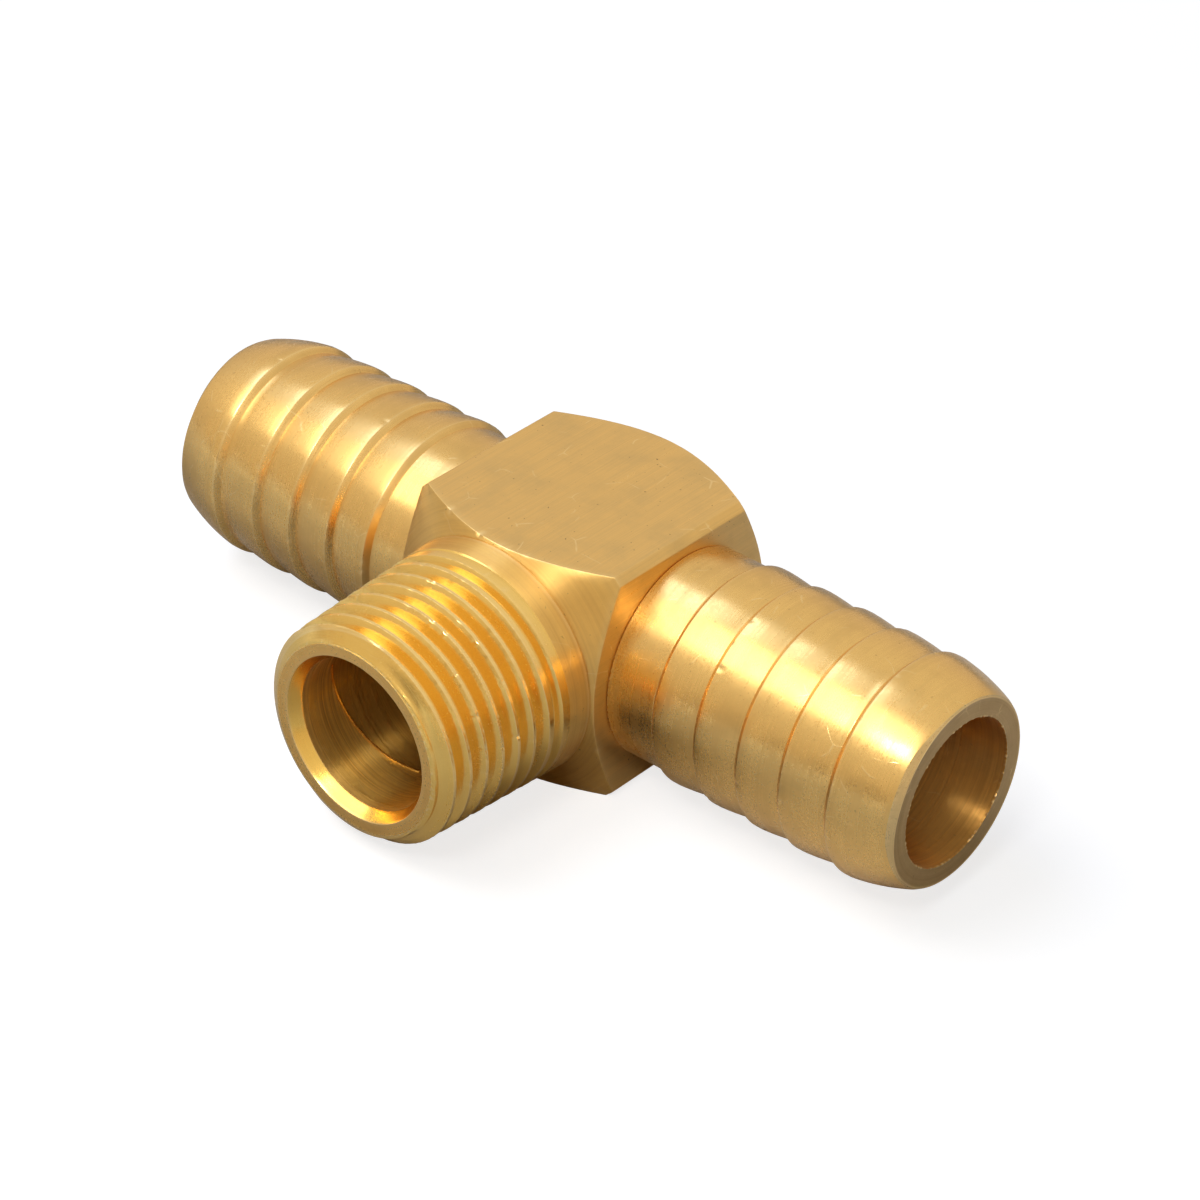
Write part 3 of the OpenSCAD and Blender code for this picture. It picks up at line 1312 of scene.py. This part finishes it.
    def skin(self) -> bpy.types.Object:
        """Wrap the tail's skin on the +X side and mirror it for the other.

        Returns:
            A closed skin.
        """
        rows = Rows(np.linspace(0, FULL_TURN, self.columns + 1))
        rows.add(self.spigot_x, self.bore_r)
        rows.add(self.spigot_x, self.spigot_r)
        rows.add(self.root_x, self.spigot_r)
        rows.add(self.root_x, self.root_r - self.seam)
        rows.add(self.root_x + self.seam * 0.35, self.root_r - self.seam * 0.3)
        rows.add(self.root_x + self.seam, self.root_r, 0.4)
        first_foot = (self.ridge_x(0) - self.rise, self.root_r)
        rows.line((self.root_x, self.root_r), first_foot, (0.1, 0.3, 0.5, 0.7, 0.9))
        for number in range(self.ridges):
            self.add_ridge(rows, number)
        self.add_nose(rows)
        rows.line((self.tail_x, self.bore_r), (self.spigot_x, self.bore_r), np.linspace(0.03, 1.0, 22))
        along, radius, wear = rows.stacked()
        angles = rows.angles
        places = np.stack([along, -radius * np.cos(angles), radius * np.sin(angles)], axis=-1)
        wear = wear.copy()
        self.dents(places, wear)
        places[..., 0] *= self.side
        return wrap_grid(self.node + "_brass", places, np.clip(wear, 0, 1))

    def dents(self, places: Array, wear: Array) -> None:
        """Press handling nicks into the ridges.

        Args:
            places: Points of the skin, changed in place.
            wear: Wear of the skin, changed in place.
        """
        for _ in range(self.nicks):
            number = self.random.integers(0, self.ridges)
            angle = self.random.uniform(0, FULL_TURN)
            x = self.ridge_x(number) + self.random.uniform(-0.05, 0.3)
            out = np.array([0.0, -math.cos(angle), math.sin(angle)])
            centre = out * self.crest_r + np.array([x, 0.0, 0.0])
            size = self.random.uniform(0.18, 0.4)
            dent(places, wear, centre, size, -out * size * self.random.uniform(0.1, 0.3))

    def dress(self, piece: bpy.types.Object) -> None:
        """Give the ridged outside, the end ring and the waterway their finishes.

        Args:
            piece: The tail.
        """
        piece.data.materials.clear()
        for finish in (TAIL_SKIN, TAIL_END, TAIL_BORE, TAIL_BEVEL):
            piece.data.materials.append(MATERIALS[finish.name])
        for face in piece.data.polygons:
            x, y, z = (value / MM for value in face.center)
            radius = math.hypot(y, z)
            if radius < self.bore_r + 0.02 and abs(face.normal.x) < 0.9:
                face.material_index = 2
            elif abs(x) > self.tail_x - self.lip - 0.012:
                face.material_index = 1
            elif abs(x) > self.tail_x - self.bevel_high and abs(face.normal.x) > 0.6:
                face.material_index = 3
            else:
                face.material_index = 0

    def build(self) -> bpy.types.Object:
        """Build and dress the tail.

        Returns:
            The finished piece.
        """
        piece = self.skin()
        self.dress(piece)
        smooth(piece, self.crisp_angle)
        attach(piece, BODY)
        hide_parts(self.node)
        return piece


# ------------------------------------------------------------------------ studio


@dataclass(frozen=True)
class Softbox:
    """One soft light, placed by its direction from the object."""

    name: str
    azimuth: float
    elevation: float
    distance: float
    width: float
    height: float
    radiance: float
    colour: RGB = (1.0, 1.0, 1.0)
    mirrored: bool = True

    def hang(self) -> None:
        """Hang the light, aimed at the origin."""
        light = bpy.data.lights.new(self.name, "AREA")
        light.shape = "RECTANGLE"
        light.size = self.width
        light.size_y = self.height
        light.energy = self.radiance * math.pi * self.width * self.height
        light.color = self.colour
        lamp = bpy.data.objects.new(self.name, light)
        turn, lift = math.radians(self.azimuth), math.radians(self.elevation)
        away = Vector((math.cos(turn) * math.cos(lift), math.sin(turn) * math.cos(lift), math.sin(lift)))
        lamp.location = away * self.distance
        right = Vector((1.0, 0.0, 0.0)) - away * away.x
        right.normalize()
        axes = Matrix((right, away.cross(right), away)).transposed()
        lamp.rotation_euler = axes.to_euler()
        lamp.visible_glossy = self.mirrored
        bpy.context.scene.collection.objects.link(lamp)


@dataclass
class Studio:
    """The camera, the pale floor and the soft lights."""

    camera_place: tuple[float, float, float] = (193.62, -229.057, 203.059)
    camera_heading: float = 39.9116
    camera_tilt: float = -34.0956
    camera_roll: float = 2.0522
    lens: float = 127.762
    floor_size: float = 6.0
    floor_tone: float = 0.35
    floor_glow: float = 0.78
    # Painted shadow on the reflector card: a darker tone under the left tail, a darker ring round the
    # branch, and a lighter tone far from the object.
    card_tone: float = 0.62
    card_shadow_tone: float = 0.34
    shadow_x_reach: tuple[float, float] = (-0.022, 0.006)
    shadow_y_reach: tuple[float, float] = (-0.021, -0.011)
    card_far: float = 0.90
    shade_centre: tuple[float, float] = (-0.004, -0.016)
    shade_reach: tuple[float, float] = (0.014, 0.040)
    shade_depth: float = 0.42
    far_reach: tuple[float, float] = (0.06, 0.20)
    flag_tone: float = 0.55
    flag_reach: tuple[float, float] = (-0.955, -0.99)
    sky_reach: tuple[float, float] = (0.0, 0.75)
    sky_low: RGB = (0.68, 0.60, 0.50)
    sky_high: RGB = (0.84, 0.82, 0.78)
    backdrop: RGB = (0.96, 0.96, 0.96)
    boxes: tuple[Softbox, ...] = (
        Softbox("key_softbox", -116.0, 60.0, 0.8, 1.0, 0.42, 2.1),
        Softbox("end_softbox", -70.0, 51.0, 0.8, 0.22, 0.14, 13.0),
        Softbox("rear_softbox", 176.0, 61.0, 0.9, 0.45, 0.32, 1.7, (0.72, 1.0, 1.75)),
        Softbox("floor_bank", -140.0, 62.0, 1.0, 0.5, 0.5, 4.0, mirrored=False),
    )

    def place_camera(self) -> None:
        """Place the camera."""
        data = bpy.data.cameras.new("studio_camera")
        data.lens = self.lens
        data.sensor_width = 36.0
        data.clip_start = 0.01
        data.clip_end = 20.0
        camera = bpy.data.objects.new("studio_camera", data)
        camera.location = Vector(self.camera_place) * MM
        aim = Euler((math.radians(90 + self.camera_tilt), 0.0, math.radians(self.camera_heading)), "XYZ")
        roll = Euler((0.0, 0.0, math.radians(self.camera_roll)), "XYZ")
        camera.rotation_euler = (aim.to_matrix() @ roll.to_matrix()).to_euler()
        bpy.context.scene.collection.objects.link(camera)
        bpy.context.scene.camera = camera

    def sheet(self, name: str, tone: float, glow: float, drop: float) -> bpy.types.Object:
        """Lay one plain sheet under the object.

        Args:
            name: Name of the sheet.
            tone: Its grey.
            glow: Light that the sheet gives of itself.
            drop: How far it lies below the object's lowest point, in metres.

        Returns:
            The sheet.
        """
        deselect_all()
        bpy.ops.mesh.primitive_plane_add(size=self.floor_size, location=(0, 0, CAD_LOW[2] - drop))
        made = bpy.context.active_object
        made.name = name
        graph = Graph(name)
        shader = graph.node("BsdfPrincipled")
        shader.inputs["Base Color"].default_value = (tone, tone, tone, 1.0)
        shader.inputs["Roughness"].default_value = 1.0
        shader.inputs["Specular IOR Level"].default_value = 0.0
        shader.inputs["Emission Color"].default_value = (1.0, 1.0, 1.0, 1.0)
        shader.inputs["Emission Strength"].default_value = glow
        out = graph.node("OutputMaterial")
        graph.feed(out.inputs["Surface"], shader.outputs[0])
        made.data.materials.append(graph.material)
        return made

    def lay_floor(self) -> None:
        """Lay the pale floor, and the grey card that the metal mirrors instead of it. The card carries
        painted shadow: darker under the left tail and round the branch, lighter far from the object.
        """
        floor = self.sheet("studio_floor", self.floor_tone, self.floor_glow, 0.0)
        floor.visible_glossy = False
        floor.visible_diffuse = False
        floor.visible_shadow = False
        card = self.sheet("reflector_card", self.card_tone, 0.0, 0.0002)
        # Painted shadow: the card is darkened under the left tail and round the branch, and lightened far
        # away, as if the object shadowed it.
        graph = Graph("reflector_card_painted_shadow")
        x, y, _ = graph.split()
        left = graph.remap(x, *self.shadow_x_reach, 1.0, 0.0)
        behind = graph.remap(y, *self.shadow_y_reach, 0.0, 1.0)
        dark = graph.math("MULTIPLY", left, behind)
        tone = graph.remap(dark, 0.0, 1.0, self.card_tone, self.card_shadow_tone)
        along = graph.math("POWER", graph.math("SUBTRACT", x, self.shade_centre[0]), 2.0)
        across = graph.math("POWER", graph.math("SUBTRACT", y, self.shade_centre[1]), 2.0)
        away = graph.math("SQRT", graph.math("ADD", along, across))
        shade = graph.remap(away, *self.shade_reach, 1.0 - self.shade_depth, 1.0)
        far = graph.remap(away, *self.far_reach, 0.0, self.card_far - self.card_tone)
        tone = graph.math("ADD", graph.math("MULTIPLY", tone, shade), far)
        paint = graph.node("BsdfDiffuse")
        graph.feed(paint.inputs["Color"], graph.join(tone, tone, tone))
        out = graph.node("OutputMaterial")
        graph.feed(out.inputs["Surface"], paint.outputs[0])
        card.data.materials[0] = graph.material
        card.visible_camera = False
        card.visible_shadow = False
        card.visible_diffuse = False

    def light_world(self) -> None:
        """Fill the studio with an even pale light."""
        world = bpy.data.worlds.new("studio_world")
        bpy.context.scene.world = world
        world.use_nodes = True
        world.cycles_visibility.diffuse = False
        tree = world.node_tree
        tree.nodes.clear()
        way = tree.nodes.new("ShaderNodeTexCoord")
        apart = tree.nodes.new("ShaderNodeSeparateXYZ")
        tree.links.new(way.outputs["Generated"], apart.inputs[0])
        rise = tree.nodes.new("ShaderNodeMapRange")
        rise.inputs["From Min"].default_value = self.sky_reach[0]
        rise.inputs["From Max"].default_value = self.sky_reach[1]
        tree.links.new(apart.outputs["Z"], rise.inputs["Value"])
        sky = tree.nodes.new("ShaderNodeMix")
        sky.data_type = "RGBA"
        tree.links.new(rise.outputs[0], sky.inputs[0])
        sky.inputs[6].default_value = opaque(self.sky_low)
        sky.inputs[7].default_value = opaque(self.sky_high)
        front = tree.nodes.new("ShaderNodeMapRange")
        front.inputs["From Min"].default_value = self.flag_reach[0]
        front.inputs["From Max"].default_value = self.flag_reach[1]
        front.inputs["To Min"].default_value = 1.0
        front.inputs["To Max"].default_value = self.flag_tone
        tree.links.new(apart.outputs["Y"], front.inputs["Value"])
        flagged = tree.nodes.new("ShaderNodeVectorMath")
        flagged.operation = "SCALE"
        tree.links.new(sky.outputs[2], flagged.inputs[0])
        tree.links.new(front.outputs[0], flagged.inputs["Scale"])
        path = tree.nodes.new("ShaderNodeLightPath")
        seen = tree.nodes.new("ShaderNodeMix")
        seen.data_type = "RGBA"
        tree.links.new(path.outputs["Is Camera Ray"], seen.inputs[0])
        tree.links.new(flagged.outputs[0], seen.inputs[6])
        seen.inputs[7].default_value = opaque(self.backdrop)
        background = tree.nodes.new("ShaderNodeBackground")
        tree.links.new(seen.outputs[2], background.inputs["Color"])
        out = tree.nodes.new("ShaderNodeOutputWorld")
        tree.links.new(background.outputs[0], out.inputs["Surface"])

    def build(self) -> None:
        """Set the whole studio up."""
        self.place_camera()
        self.lay_floor()
        self.light_world()
        for box in self.boxes:
            box.hang()
        bpy.context.scene.view_settings.view_transform = "Standard"
        bpy.context.scene.view_settings.look = "None"


MATERIALS = {
    finish.name: finish.build()
    for finish in (
        DRAWN_FLAT, TURNED_SHOULDER, THREAD, END_RING, COUNTERSINK, BRANCH_BORE,
        TAIL_SKIN, TAIL_END, TAIL_BEVEL, TAIL_BORE, FILLER,
    )
}


def dress_filler(node: str) -> None:
    """Give a ring of filler metal its finish.

    Args:
        node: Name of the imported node.
    """
    ring = frame["nodes"][node]
    for slot in ring.material_slots:
        slot.material = MATERIALS[FILLER.name]
    if not ring.material_slots:
        ring.data.materials.append(MATERIALS[FILLER.name])


def main() -> None:
    """Build every piece in order."""
    logging.basicConfig(level=logging.INFO, format="%(name)s: %(message)s")
    Studio().build()
    builders: list[Callable[[], bpy.types.Object]] = [
        TeeBody().build,
        HoseTail("barb_left", side=-1, seed=5).build,
        HoseTail("barb_right", side=1, seed=9).build,
    ]
    for build in builders:
        piece = build()
        log.info("%s: %d faces", piece.name, len(piece.data.polygons))
    for node in ("braze_ring_left", "braze_ring_right"):
        dress_filler(node)
        log.info("%s: packed solid, dressed", node)


if __name__ == "__main__":
    main()
